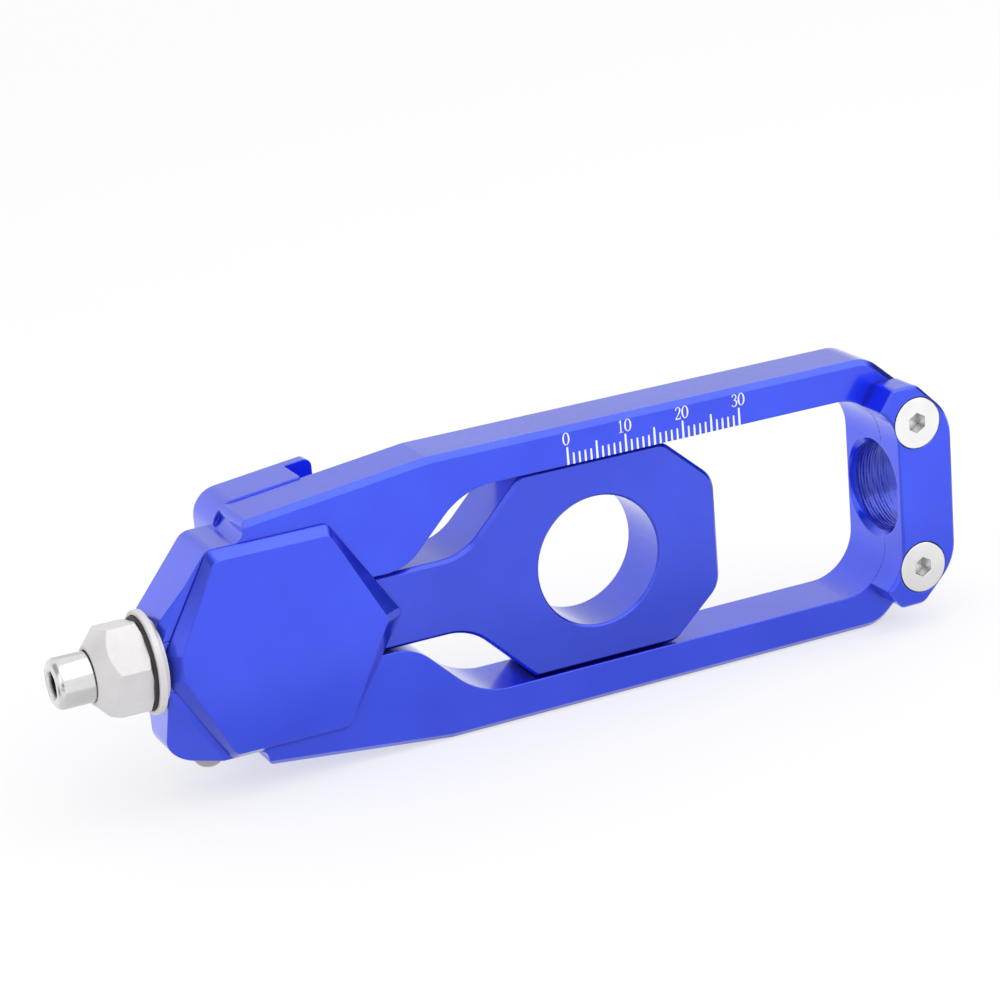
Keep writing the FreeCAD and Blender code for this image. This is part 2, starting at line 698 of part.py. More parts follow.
# Adjusting bolt: socket end, collar in the nose and thread in the block's neck
def make_bolt():
    body = new_body("adjuster_bolt")
    body.setExpression("Placement.Base.y", bound("-line_depth"))
    sketch = new_sketch(body, "XZ_Plane", "BoltProfile")
    outline(
        sketch,
        [
            ("-bolt_tip_left", "0"),
            ("-bolt_tip_left", "bolt_radius - bolt_bevel"),
            ("-bolt_tip_left + bolt_bevel", "bolt_radius"),
            ("-collar_left", "bolt_radius"),
            ("-collar_left", "collar_radius"),
            ("-collar_left + collar_width", "collar_radius"),
            ("-collar_left + collar_width", "screw_radius"),
            ("-screw_right - bolt_bevel", "screw_radius"),
            ("-screw_right", "screw_radius - bolt_bevel"),
            ("-screw_right", "0"),
        ],
    )
    turned(body, sketch, "Revolution")
    socket = new_sketch(body, "YZ_Plane", "BoltSocket", "-bolt_tip_left")
    hexagon(socket, "0", "0", "socket_flats")
    pocket(body, socket, "socket_depth", backwards=True)
    return body


# Lock nut with a cone towards the bolt's end
def make_nut():
    body = new_body("lock_nut")
    body.setExpression("Placement.Base.y", bound("-line_depth"))
    seat = "-nose_left - washer_thickness + washer_recess - ring_thickness"
    nose = f"{seat} - nut_length"
    prism = new_sketch(body, "YZ_Plane", "NutPrism", nose)
    hexagon(prism, "0", "0", "nut_flats", "nut_turned")
    circle(prism, "0", "0", "bolt_radius + fit_gap")
    pad(body, prism, "nut_length")
    cone = new_sketch(body, "XZ_Plane", "NutCone")
    wide = "nut_flats / 2 / cos(30)"
    outline(
        cone,
        [
            (f"{nose} - 1", "nut_nose_radius"),
            (nose, "nut_nose_radius"),
            (f"{nose} + nut_cone_length", wide),
            (f"{nose} + nut_cone_length", f"{wide} + 2"),
            (f"{nose} - 1", f"{wide} + 2"),
        ],
    )
    turned(body, cone, "Groove")
    bevel = new_sketch(body, "XZ_Plane", "NutSeatBevel")
    outline(
        bevel,
        [
            (seat, "nut_seat_radius"),
            (f"{seat} - nut_seat_length", wide),
            (f"{seat} - nut_seat_length", f"{wide} + 2"),
            (f"{seat} + 1", f"{wide} + 2"),
            (f"{seat} + 1", "nut_seat_radius"),
        ],
    )
    turned(body, bevel, "Groove")
    return body


# Washer with a narrow foot on the nose and a recess for the rubber ring
def make_washer():
    body = new_body("washer")
    body.setExpression("Placement.Base.y", bound("-line_depth"))
    sketch = new_sketch(body, "XZ_Plane", "WasherProfile")
    inner = "bolt_radius + free_gap"
    step = "-nose_left - washer_hub_length"
    left = "-nose_left - washer_thickness"
    outline(
        sketch,
        [
            ("-nose_left", inner),
            ("-nose_left", "washer_hub_radius"),
            (step, "washer_hub_radius"),
            (step, "washer_radius", "washer_round"),
            (left, "washer_radius", "washer_round"),
            (left, "washer_radius - washer_lip"),
            (f"{left} + washer_recess", "washer_radius - washer_lip"),
            (f"{left} + washer_recess", inner),
        ],
    )
    turned(body, sketch, "Revolution")
    return body


def make_ring():
    body = new_body("seal_ring")
    body.setExpression("Placement.Base.y", bound("-line_depth"))
    sketch = new_sketch(body, "XZ_Plane", "RingProfile")
    right = "-nose_left - washer_thickness + washer_recess"
    outer = "washer_radius - washer_lip - ring_gap"
    inner = "bolt_radius + free_gap"
    outline(
        sketch,
        [
            (right, inner),
            (right, outer, "ring_thickness / 4"),
            (f"{right} - ring_thickness", outer, "ring_thickness / 4"),
            (f"{right} - ring_thickness", inner),
        ],
    )
    turned(body, sketch, "Revolution")
    return body


# Clamp cap, closing the rod bore from the front
def make_cap():
    body = new_body("clamp_cap")
    sketch = new_sketch(body, "XZ_Plane", "CapOutline", "plate_thickness")
    outline(
        sketch,
        [
            ("cap_toe_left", "cap_toe_up"),
            ("cap_flat_left", "cap_top", "cap_corner_radius / 2"),
            ("cap_flat_right", "cap_top", "cap_corner_radius"),
            ("tail_right", "cap_side_top", "cap_side_radius"),
            ("tail_right", "-cap_side_top", "cap_side_radius"),
            ("cap_flat_right", "-cap_top", "cap_corner_radius"),
            ("cap_flat_left", "-cap_top", "cap_corner_radius / 2"),
            ("cap_toe_left", "-cap_toe_up"),
        ],
    )
    pad(body, sketch, "cap_thickness")

    slot = new_sketch(body, "XZ_Plane", "CapSlotSide", "plate_thickness")
    outline(
        slot,
        [
            ("slot_right - 2 * slot_corner", "slot_half"),
            ("slot_right", "slot_half", "slot_corner"),
            ("slot_right", "-slot_half", "slot_corner"),
            ("slot_right - 2 * slot_corner", "-slot_half"),
        ],
    )
    pocket(body, slot, "cap_thickness", backwards=True)

    face = -value("plate_thickness + cap_thickness")
    dressed(body, "Chamfer", lambda edge: lies_at_depth(edge, face), "cap_bevel")

    rod_bore(body, "CapRodBore", "tail_right - slot_right + 5")

    holes = new_sketch(body, "XZ_Plane", "CapScrewHoles", "plate_thickness")
    for across, up in CLAMP_SCREWS:
        circle(holes, across, up, "clamp_screw_radius + head_ring")
    pocket(body, holes, "cap_thickness", backwards=True)
    sinks = new_sketch(body, "XZ_Plane", "CapCountersinks", "plate_thickness + cap_thickness")
    for across, up in CLAMP_SCREWS:
        circle(sinks, across, up, "clamp_head_radius + head_ring")
    pocket(body, sinks, "clamp_head_radius - clamp_screw_radius", lean="-45")
    return body


def make_flush_screws(label, places, face, inward, radius, head, length, flats):
    """Countersunk screws with hexagon sockets, heads in the plane at the given level.

    inward says whether the shanks run towards +Y (False: towards the outer face).
    """
    body = new_body(label)
    body.AllowCompound = True
    name = label.title().replace("_", "")
    step = "-" if inward else "+"
    sink = f"({head} - {radius})"

    heads = new_sketch(body, "XZ_Plane", name + "Heads", face)
    for across, up in places:
        circle(heads, across, up, head)
    pad(body, heads, sink, backwards=inward, lean="-45")

    shanks = new_sketch(body, "XZ_Plane", name + "Shanks", f"{face} {step} {sink} / 2")
    for across, up in places:
        circle(shanks, across, up, radius)
    pad(body, shanks, f"{length} - {sink} / 2", backwards=inward)

    sockets = new_sketch(body, "XZ_Plane", name + "Sockets", face)
    for across, up in places:
        hexagon(sockets, across, up, flats)
    pocket(body, sockets, sink, backwards=not inward)
    return body


# Small socket screw under the nose that locks the bolt
def make_lock_screw():
    body = new_body("lock_screw")
    body.setExpression("Placement.Base.x", bound("-lock_screw_left"))
    body.setExpression("Placement.Base.y", bound("-line_depth"))
    shank = new_sketch(body, "XY_Plane", "LockShank", "-shoulder_top")
    circle(shank, "0", "0", "lock_screw_radius")
    pad(body, shank, "shoulder_top - bolt_radius - free_gap")
    head = new_sketch(body, "XY_Plane", "LockHead", "-shoulder_top")
    circle(head, "0", "0", "lock_head_radius")
    pad(body, head, "lock_head_height", backwards=True)
    socket = new_sketch(body, "XY_Plane", "LockSocket", "-shoulder_top - lock_head_height")
    hexagon(socket, "0", "0", "lock_socket_flats")
    pocket(body, socket, "lock_head_height / 2", backwards=True)
    bottom = -value("shoulder_top + lock_head_height")
    rim = value("lock_head_radius")
    dressed(
        body,
        "Fillet",
        lambda edge: is_circle(edge, rim) and abs(middle_of(edge).z - bottom) < TINY,
        "lock_head_height / 4",
    )
    return body


parts = [
    make_plate(),
    make_cover(),
    make_block(),
    make_bolt(),
    make_nut(),
    make_washer(),
    make_ring(),
    make_cap(),
    make_flush_screws(
        "clamp_screws",
        CLAMP_SCREWS,
        "plate_thickness + cap_thickness",
        True,
        "clamp_screw_radius",
        "clamp_head_radius",
        "clamp_screw_length",
        "clamp_socket_flats",
    ),
    make_flush_screws(
        "cover_screws",
        COVER_SCREWS,
        "head_sink",
        False,
        "cover_screw_radius",
        "cover_head_radius",
        "cover_screw_length",
        "cover_socket_flats",
    ),
    make_lock_screw(),
]

doc.recompute()
for item in doc.Objects:
    if {"Invalid", "Error"} & set(item.State):
        raise RuntimeError(f"{item.Name} failed: {item.State}")
for part in parts:
    if part.Shape.isNull() or not part.Shape.isValid():
        raise RuntimeError(f"{part.Label} has no valid shape")

os.makedirs("parts", exist_ok=True)
for part in parts:
    part.Shape.exportStep(f"parts/{part.Label}.step")
    box = part.Shape.BoundBox
    print(
        f"{part.Label}: {len(part.Shape.Solids)} solid(s), {part.Shape.Volume:.1f} mm3,"
        f" X {box.XMin:.1f}..{box.XMax:.1f} Y {box.YMin:.1f}..{box.YMax:.1f}"
        f" Z {box.ZMin:.1f}..{box.ZMax:.1f}"
    )
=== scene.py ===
# Chain adjuster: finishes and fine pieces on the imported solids, with a studio and a camera.
# The pieces are written in millimetres, which MM turns into metres; the studio is in metres.

import math
from collections import namedtuple

import bpy
from mathutils import Euler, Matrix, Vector


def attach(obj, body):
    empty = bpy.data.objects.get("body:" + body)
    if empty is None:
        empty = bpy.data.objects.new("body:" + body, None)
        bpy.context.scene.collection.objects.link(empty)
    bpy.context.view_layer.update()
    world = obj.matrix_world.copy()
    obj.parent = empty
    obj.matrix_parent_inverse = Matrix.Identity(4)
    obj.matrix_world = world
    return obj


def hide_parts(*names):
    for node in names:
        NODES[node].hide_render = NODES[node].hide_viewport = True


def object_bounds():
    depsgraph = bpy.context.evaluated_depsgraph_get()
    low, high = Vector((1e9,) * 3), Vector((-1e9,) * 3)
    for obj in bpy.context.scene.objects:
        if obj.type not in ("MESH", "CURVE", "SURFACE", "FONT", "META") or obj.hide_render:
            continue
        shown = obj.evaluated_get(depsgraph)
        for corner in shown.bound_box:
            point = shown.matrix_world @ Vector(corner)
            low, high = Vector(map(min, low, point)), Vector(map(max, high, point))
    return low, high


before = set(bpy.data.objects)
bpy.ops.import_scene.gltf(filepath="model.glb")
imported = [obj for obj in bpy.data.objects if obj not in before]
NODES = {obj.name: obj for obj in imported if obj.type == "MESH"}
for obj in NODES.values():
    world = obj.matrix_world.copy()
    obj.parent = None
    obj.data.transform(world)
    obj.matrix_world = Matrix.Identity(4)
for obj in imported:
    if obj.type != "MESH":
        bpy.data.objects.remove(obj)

CAD_BOX = [list(corner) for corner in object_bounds()]
MM = 0.001

# Places in the solids that several parts of the script use
BOLT_TIP = -87.2
BOLT_DOWN = -6.0
PLATE_FRONT = -10.5


def rgb(red, green, blue):
    return (red, green, blue, 1.0)


class Nodes:
    """Short calls for the nodes used here, in one node tree."""

    def __init__(self, tree):
        self.tree = tree

    def node(self, kind, settings=None, **inputs):
        made = self.tree.nodes.new("ShaderNode" + kind)
        for key, setting in (settings or {}).items():
            setattr(made, key, setting)
        for key, given in inputs.items():
            self.feed(made.inputs[key.replace("_", " ")], given)
        return made

    def feed(self, socket, given):
        if isinstance(given, bpy.types.NodeSocket):
            self.tree.links.new(given, socket)
        else:
            socket.default_value = given

    def span(self, given, low, high, start=0.0, end=1.0, curve="LINEAR"):
        """Maps low..high to start..end, held at both ends."""
        made = self.node("MapRange", {"clamp": True, "interpolation_type": curve})
        for socket, number in zip(list(made.inputs)[:5], (given, low, high, start, end)):
            self.feed(socket, number)
        return made.outputs["Result"]

    def maths(self, operation, first, second=0.0):
        made = self.node("Math", {"operation": operation})
        self.feed(made.inputs[0], first)
        self.feed(made.inputs[1], second)
        return made.outputs[0]

    def background_rays(self):
        """One for the rays that show the background: camera, glossy and transmission rays."""
        ray = self.node("LightPath")
        seen = ray.outputs["Is Camera Ray"]
        for kind in ("Is Glossy Ray", "Is Transmission Ray"):
            seen = self.maths("MAXIMUM", seen, ray.outputs[kind])
        return seen


class Shader(Nodes):
    """A new material with a Principled surface, in the piece's own coordinates."""

    def __init__(self, name):
        self.material = bpy.data.materials.new(name)
        self.material.use_nodes = True
        super().__init__(self.material.node_tree)
        self.surface = self.tree.nodes["Principled BSDF"]
        self.coordinates = self.node("TexCoord")
        self.place = self.coordinates.outputs["Object"]

    def noise(self, scale, detail=2.0, roughness=0.5, stretch=None):
        """Noise of this many features per metre; stretch squeezes it along X, Y and Z."""
        where = self.place
        if stretch:
            where = self.node("Mapping", Vector=where, Scale=stretch).outputs["Vector"]
        made = self.node("TexNoise", Vector=where, Scale=scale, Detail=detail, Roughness=roughness)
        return made.outputs["Fac"]

    def mixed(self, factor, first, second):
        made = self.node("Mix", {"data_type": "RGBA"})
        self.feed(made.inputs["Factor"], factor)
        self.feed(made.inputs[6], first)
        self.feed(made.inputs[7], second)
        return made.outputs[2]

    def edge(self, radius, sharpness):
        """One on convex and concave edges, falling to zero within the radius, and the rounded normal."""
        rounded = self.node("Bevel", {"samples": 6}, Radius=radius).outputs["Normal"]
        flat = self.node("NewGeometry").outputs["Normal"]
        dot = self.node("VectorMath", {"operation": "DOT_PRODUCT"})
        self.feed(dot.inputs[0], rounded)
        self.feed(dot.inputs[1], flat)
        return self.span(dot.outputs["Value"], 1.0 - sharpness, 1.0, 1.0, 0.0), rounded

    def openness(self, reach, samples):
        """One on open surfaces, less where other surfaces stand within reach."""
        return self.node("AmbientOcclusion", {"samples": samples}, Distance=reach).outputs["AO"]

    def bump(self, height, strength, distance, normal=None):
        made = self.node("Bump", Height=height, Strength=strength, Distance=distance)
        if normal is not None:
            self.feed(made.inputs["Normal"], normal)
        return made.outputs["Normal"]

    def set(self, **inputs):
        for key, given in inputs.items():
            self.feed(self.surface.inputs[key.replace("_", " ")], given)


# Blue anodised aluminium: blasted grain under a clear oxide layer, paler where edges have worn, with painted
# shade in creases and recesses
DEEP_BLUE = (0.010, 0.050, 0.84)
PALE_BLUE = (0.018, 0.066, 0.93)
GRAIN_BLUE = rgb(0.04, 0.10, 0.98)
WORN_BLUE = rgb(0.18, 0.30, 1.0)
PAINTED_SHADE_BLUE = rgb(0.006, 0.018, 0.42)
BEVEL_SHADE_BLUE = rgb(0.002, 0.018, 0.40)
WEAR_RADIUS = 0.32
OPENNESS_REACH = 1.6
EDGE_SHARPNESS = 0.2


def bevel_shade(s, share):
    """Share of painted shade, a deeper blue, on bevels by the way they face, chosen to match the
    photograph's shading.

    The upper right bevel is dark by the light alone and gets a tenth of it.
    The top one is pale in the photograph and gets none.
    """
    lean = s.node("SeparateXYZ", Vector=s.coordinates.outputs["Normal"]).outputs
    leaning = s.span(s.maths("ABSOLUTE", lean["Y"]), 0.6, 0.92, share, 0.0)
    below_top = s.span(lean["Z"], 0.45, 0.75, 1.0, 0.0)
    upper_right = s.maths("MULTIPLY", s.span(lean["X"], 0.0, 0.3), s.span(lean["Z"], -0.1, 0.1))
    beside = s.span(upper_right, 0.0, 1.0, 1.0, 0.1)
    return s.maths("MULTIPLY", s.maths("MULTIPLY", leaning, below_top), beside)


def anodised(name, shade, turned=False, bevels=0.0):
    s = Shader(name)
    worn, rounded = s.edge(WEAR_RADIUS * MM, EDGE_SHARPNESS)
    open_place = s.openness(OPENNESS_REACH * MM, 8)
    worn = s.maths("MULTIPLY", worn, s.span(open_place, 0.75, 0.95))
    cloud = s.noise(55.0, 3.0)
    mottle = s.noise(900.0, 4.0, 0.6, (4.0, 0.3, 0.3) if turned else None)
    grain = s.noise(9000.0, 3.0, 0.65)
    deep, pale = ([shade * part for part in blue] for blue in (DEEP_BLUE, PALE_BLUE))
    body = s.mixed(s.span(cloud, 0.35, 0.65), rgb(*deep), rgb(*pale))
    body = s.mixed(s.span(grain, 0.45, 0.75, 0.0, 0.15), body, GRAIN_BLUE)
    scuffed = s.maths("MULTIPLY", worn, s.span(mottle, 0.3, 0.6, 0.05, 0.25))
    body = s.mixed(scuffed, body, WORN_BLUE)
    # Painted shade: a darker blue in creases and recesses, where other surfaces stand within reach
    body = s.mixed(s.span(open_place, 0.35, 0.93, 0.8, 0.0), body, PAINTED_SHADE_BLUE)
    if bevels:
        # Painted shade: a deeper blue on the bevels that lean away from the face
        body = s.mixed(bevel_shade(s, bevels), body, BEVEL_SHADE_BLUE)
    if turned:
        skin = s.bump(mottle, 0.8, 0.08 * MM, rounded)
    else:
        skin = s.bump(grain, 0.22, 0.008 * MM, rounded)
    s.set(
        Base_Color=body,
        Metallic=0.92,
        Roughness=s.span(mottle, 0.25, 0.75, 0.28, 0.36),
        Coat_Weight=1.0,
        Coat_Roughness=0.14,
        Coat_IOR=1.6,
        Normal=skin,
        Coat_Normal=s.bump(mottle, 0.10, 0.006 * MM, rounded),
    )
    return s.material


# Bright steel: turned pieces show rings round the bolt's line, the others a fine random brushing
POLISHED = rgb(0.93, 0.93, 0.94)
SHADED_STEEL = rgb(0.13, 0.13, 0.13)
HOLE_SHADE_STEEL = rgb(0.01, 0.01, 0.01)
STEEL_WEAR_RADIUS = 0.2
STEEL_OPENNESS_REACH = 2.4
SMEAR_SHADE = 0.93


def steel(name, tint, roughness, turned=False, metallic=1.0, hole=None):
    """Steel with painted shade in creases and recesses, or with a blind hole along X: bright at its mouth,
    painted shade further in.
    """
    s = Shader(name)
    worn, rounded = s.edge(STEEL_WEAR_RADIUS * MM, EDGE_SHARPNESS)
    if turned:
        marks = s.noise(1500.0, 3.0, 0.6, (6.0, 0.12, 0.12))
    else:
        marks = s.noise(2600.0, 4.0, 0.6)
    smear = s.noise(240.0, 3.0)
    grey = [SMEAR_SHADE * level for level in tint]
    body = s.mixed(s.span(smear, 0.35, 0.7), rgb(*tint), rgb(*grey))
    body = s.mixed(s.maths("MULTIPLY", worn, 0.5), body, POLISHED)
    if hole:
        mouth, dark = hole
        along = s.node("SeparateXYZ", Vector=s.place).outputs["X"]
        # Painted shade: darker from the hole's mouth inwards
        body = s.mixed(s.span(along, mouth * MM, dark * MM), body, HOLE_SHADE_STEEL)
    else:
        open_place = s.openness(STEEL_OPENNESS_REACH * MM, 6)
        # Painted shade: a dark grey in creases and recesses, where other surfaces stand within reach
        body = s.mixed(s.span(open_place, 0.2, 0.62, 0.85, 0.0), body, SHADED_STEEL)
    s.set(
        Base_Color=body,
        Metallic=metallic,
        Roughness=s.span(marks, 0.3, 0.7, roughness * 0.75, roughness * 1.3),
        Normal=s.bump(marks, 0.12, 0.01 * MM, rounded),
    )
    return s.material


def rubber():
    s = Shader("black_rubber_matt")
    skin = s.noise(3500.0, 4.0, 0.6)
    s.set(
        Base_Color=s.mixed(s.span(skin, 0.3, 0.7), rgb(0.016, 0.016, 0.018), rgb(0.035, 0.034, 0.036)),
        Roughness=s.span(skin, 0.3, 0.7, 0.5, 0.7),
        Normal=s.bump(skin, 0.3, 0.02 * MM),
    )
    return s.material


def engraving_white():
    s = Shader("engraving_white")
    chalk = s.noise(5000.0, 3.0, 0.6)
    s.set(
        Base_Color=s.mixed(s.span(chalk, 0.3, 0.7), rgb(0.80, 0.84, 0.95), rgb(0.92, 0.94, 1.0)),
        Roughness=0.55,
        Normal=s.bump(chalk, 0.3, 0.01 * MM),
    )
    return s.material


# The bolt's socket is painted darker between these places along X, as the photograph shows it: painted shade
# deeper in the hole
SOCKET_SHADE = (BOLT_TIP + 0.25, BOLT_TIP + 0.7)

BLUE = anodised("blue_anodised_satin", 1.0)
# The axle block is a darker copy of the satin blue: painted shade
BLUE_SHADED_BLOCK = anodised("blue_anodised_block", 0.82)
BLUE_BEVELLED = anodised("blue_anodised_bevelled", 1.0, bevels=0.45)
# The bore lining: turned marks, in a darker copy of the blue that is painted shade inside the bore
BLUE_CUT_SHADED = anodised("blue_anodised_bore", 0.6, turned=True)
TURNED = steel("bright_steel_turned", (0.75, 0.75, 0.755), 0.16, turned=True)
PLATED = steel("bright_steel_plated", (0.94, 0.935, 0.94), 0.22)
SATIN = steel("bright_steel_satin", (0.73, 0.71, 0.72), 0.5, metallic=0.35)
DULLED = steel("bright_steel_dulled", (0.52, 0.45, 0.50), 0.3)
SOCKET = steel("bright_steel_socket", (0.85, 0.83, 0.84), 0.5, metallic=0.3, hole=SOCKET_SHADE)
RUBBER = rubber()
WHITE = engraving_white()

FINISH = {
    "plate": BLUE,
    "cover": BLUE_BEVELLED,
    "axle_block": BLUE_SHADED_BLOCK,
    "clamp_cap": BLUE,
    "washer": SATIN,
    "lock_nut": SATIN,
    "clamp_screws": PLATED,
    "cover_screws": PLATED,
    "seal_ring": RUBBER,
}
for name, material in FINISH.items():
    NODES[name].material_slots[0].material = material


def new_piece(name, vertices, faces, material, body, sharp=None):
    """A mesh piece in millimetres, riding on a body; sharp is its hard edges' least angle, None is flat."""
    mesh = bpy.data.meshes.new(name)
    mesh.from_pydata([[MM * part for part in vertex] for vertex in vertices], [], faces)
    mesh.validate()
    mesh.polygons.foreach_set("use_smooth", [sharp is not None] * len(mesh.polygons))
    if sharp is not None:
        mesh.set_sharp_from_angle(angle=math.radians(sharp))
    mesh.materials.append(material)
    piece = bpy.data.objects.new(name, mesh)
    bpy.context.scene.collection.objects.link(piece)
    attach(piece, body)
    return piece


# Strokes of the engraving, filled with white: a hair above the plate's face
MARK_RAISE = 0.03
MARK_SINK = 0.02
STROKE_WEIGHT = 0.85
CURVE_STEPS = 6


def curve_point(before, here, after, beyond, t):
    """The point at t on a smooth curve from here to after, led by the points on both sides."""
    return tuple(
        0.5 * (2 * b + (c - a) * t + (2 * a - 5 * b + 4 * c - d) * t * t + (3 * b - a - 3 * c + d) * t**3)
        for a, b, c, d in zip(before, here, after, beyond)
    )


def smooth_path(points):
    """A rounded path through (across, up, half width) points."""
    if len(points) < 3:
        return points
    path = []
    closed = points[0] == points[-1]
    last = len(points) - 1
    for index in range(last):
        before = points[index - 1] if index else (points[last - 1] if closed else points[0])
        beyond = points[index + 2] if index + 2 <= last else (points[1] if closed else points[last])
        for step in range(CURVE_STEPS):
            path.append(curve_point(before, points[index], points[index + 1], beyond, step / CURVE_STEPS))
    path.append(points[-1])
    return path


def add_stroke(vertices, faces, path, across, up, lift=0.0):
    """A flat raised stroke along a path on the plate's face."""
    first = len(vertices)
    count = len(path)
    for index, (u, v, half) in enumerate(path):
        half *= STROKE_WEIGHT
        back = path[max(index - 1, 0)]
        ahead = path[min(index + 1, count - 1)]
        along = Vector((ahead[0] - back[0], ahead[1] - back[1])).normalized()
        side = Vector((-along.y, along.x)) * half
        for sign in (1, -1):
            x, z = across + u + sign * side.x, up + v + sign * side.y
            vertices.append((x, PLATE_FRONT - MARK_RAISE - lift, z))
            vertices.append((x, PLATE_FRONT + MARK_SINK, z))
    for index in range(count - 1):
        a, b = first + 4 * index, first + 4 * index + 4
        faces += [
            (a, a + 2, b + 2, b),
            (a + 1, b + 1, b + 3, a + 3),
            (a, b, b + 1, a + 1),
            (a + 2, a + 3, b + 3, b + 2),
        ]
    end = first + 4 * (count - 1)
    faces += [(first, first + 1, first + 3, first + 2), (end, end + 2, end + 3, end + 1)]


# Serif numerals, two millimetres high, as strokes of varying width: (across, up, half width)
ZERO_HALF_WIDTH = 0.47
ZERO_HALF_HEIGHT = 0.95
ZERO_THIN = 0.06
ZERO_SWELL = 0.10


def zero_point(degrees):
    across, up = math.sin(math.radians(degrees)), math.cos(math.radians(degrees))
    half = ZERO_THIN + ZERO_SWELL * abs(across) ** 1.5
    return (ZERO_HALF_WIDTH * across, 1.0 + ZERO_HALF_HEIGHT * up, half)


GLYPHS = {
    "0": [[zero_point(degrees) for degrees in range(0, 361, 15)]],
    "1": [
        [(0.03, 0.04, 0.12), (0.03, 1.95, 0.12)],
        [(-0.3, 0.05, 0.05), (0.36, 0.05, 0.05)],
        [(0.03, 1.9, 0.06), (-0.12, 1.72, 0.06), (-0.3, 1.66, 0.04)],
    ],
    "2": [
        [
            (-0.36, 1.5, 0.12),
            (-0.28, 1.82, 0.08),
            (0.02, 1.95, 0.06),
            (0.34, 1.74, 0.11),
            (0.34, 1.3, 0.14),
            (0.02, 0.72, 0.09),
            (-0.4, 0.14, 0.07),
        ],
        [(-0.44, 0.1, 0.09), (0.4, 0.1, 0.11)],
        [(0.38, 0.06, 0.06), (0.45, 0.42, 0.05)],
    ],
    "3": [
        [
            (-0.34, 1.58, 0.1),
            (-0.22, 1.86, 0.07),
            (0.05, 1.95, 0.06),
            (0.32, 1.72, 0.11),
            (0.28, 1.3, 0.12),
            (-0.06, 1.08, 0.05),
        ],
        [
            (-0.06, 1.08, 0.05),
            (0.34, 0.86, 0.12),
            (0.4, 0.44, 0.14),
            (0.14, 0.08, 0.08),
            (-0.18, 0.04, 0.06),
            (-0.4, 0.32, 0.1),
        ],
    ],
}

# The scale: thirty divisions of a millimetre along the slot's upper edge
DIVISIONS = 30
SCALE_ZERO = -4.2
SLOT_EDGE = 16.6
LONG_MARK = 2.85
SHORT_MARK = 1.8
MARK_HALF_WIDTH = 0.2
LONG_MARK_WEIGHT = 1.1
MARK_FOOT = 0.02
MARK_TIP = 0.08
NUMBER_GAP = 0.3
NUMBER_STEP = 1.25
NUMBER_SHIFT = -0.1
CROSSING_LIFT = 0.002


def scale_marks():
    """Marks that narrow towards their tips, each fifth one long."""
    vertices, faces = [], []
    for index in range(DIVISIONS + 1):
        long = index % 5 == 0
        top = LONG_MARK if long else SHORT_MARK
        wide = MARK_HALF_WIDTH * (LONG_MARK_WEIGHT if long else 1.0)
        path = [(0, MARK_FOOT, wide), (0, 0.6 * top, wide * 0.92)]
        path += [(0, top - MARK_TIP, wide * 0.8), (0, top, wide * 0.5)]
        add_stroke(vertices, faces, path, SCALE_ZERO + index, SLOT_EDGE)
    new_piece("scale_marks", vertices, faces, WHITE, "frame")


def scale_numbers():
    """A number over each tenth mark; strokes that cross are lifted a little over each other."""
    vertices, faces = [], []
    for index in range(0, DIVISIONS + 1, 10):
        text = str(index)
        for place, letter in enumerate(text):
            across = SCALE_ZERO + index + NUMBER_SHIFT + (place - (len(text) - 1) / 2) * NUMBER_STEP
            for number, stroke in enumerate(GLYPHS[letter]):
                up = SLOT_EDGE + LONG_MARK + NUMBER_GAP
                add_stroke(vertices, faces, smooth_path(stroke), across, up, CROSSING_LIFT * number)
    new_piece("scale_numbers", vertices, faces, WHITE, "frame")


scale_marks()
scale_numbers()


# Turned pieces: rings of vertices joined by quads
TURN_STEPS = 48
TURNED_SHARP = 35


def add_ring(vertices, point, steps=TURN_STEPS):
    """Adds a ring of vertices, where point gives the place at a turn; returns the ring's first index."""
    first = len(vertices)
    vertices += [point(2 * math.pi * step / steps) for step in range(steps)]
    return first


def join_rings(faces, low, high, steps=TURN_STEPS, flipped=False):
    """Quads from the ring that starts at index low to the one at high; flipped ones face the other way."""
    for step in range(steps):
        ahead = (step + 1) % steps
        if flipped:
            faces.append((low + step, high + step, high + ahead, low + ahead))
        else:
            faces.append((low + step, low + ahead, high + ahead, high + step))


def hexagon_radius(turn, flats):
    """Distance from a hexagon's middle to its side at a turn."""
    away = (turn + math.pi / 6) % (math.pi / 3) - math.pi / 6
    return flats / 2 / math.cos(away)


# Bolt: the solid's profile with real helical threads where nut and block run
Thread = namedtuple("Thread", "start end pitch depth radius")
OUTER_THREAD = Thread(-81.9, -64.4, 1.25, 0.62, 3.9)
INNER_THREAD = Thread(-59.2, -16.6, 1.0, 0.5, 3.0)
THREAD_STEPS = 12
THREAD_FLANK = 1.25
THREAD_CREST = 0.12
TIP_ROUNDING = ((0.0, 0.75), (0.2, 0.35), (0.75, 0.04), (1.0, 0.0))
COLLAR_LEFT, COLLAR_RIGHT, COLLAR_RADIUS, COLLAR_CHAMFER = -62.8, -59.8, 4.8, 0.15
BOLT_END, BOLT_END_CHAMFER = -16.5, 0.7
BOLT_SOCKET_FLATS, BOLT_SOCKET_DEPTH, BOLT_SOCKET_POINT = 4.0, 4.5, 0.8
COUNTERSINK, COUNTERSINK_MARGIN = 0.25, 0.05


def thread_depth(thread, x, turn):
    """Depth of a V thread below its crest, fading out at both ends of its run; none where thread is None."""
    if not thread or not thread.start < x < thread.end:
        return 0.0
    phase = (x / thread.pitch - turn / (2 * math.pi)) % 1.0
    groove = min(1.0, max(0.0, THREAD_FLANK * (1.0 - abs(2.0 * phase - 1.0)) - THREAD_CREST))
    fade = min(1.0, (x - thread.start) / thread.pitch, (thread.end - x) / thread.pitch)
    return thread.depth * groove * fade


def threaded_run(thread, finish):
    """Stations (along, radius, thread) from the thread's start to finish, close enough for its helix."""
    count = int((finish - thread.start) / thread.pitch * THREAD_STEPS)
    reach = finish - thread.start
    return [(thread.start + reach * index / count, thread.radius, thread) for index in range(count + 1)]


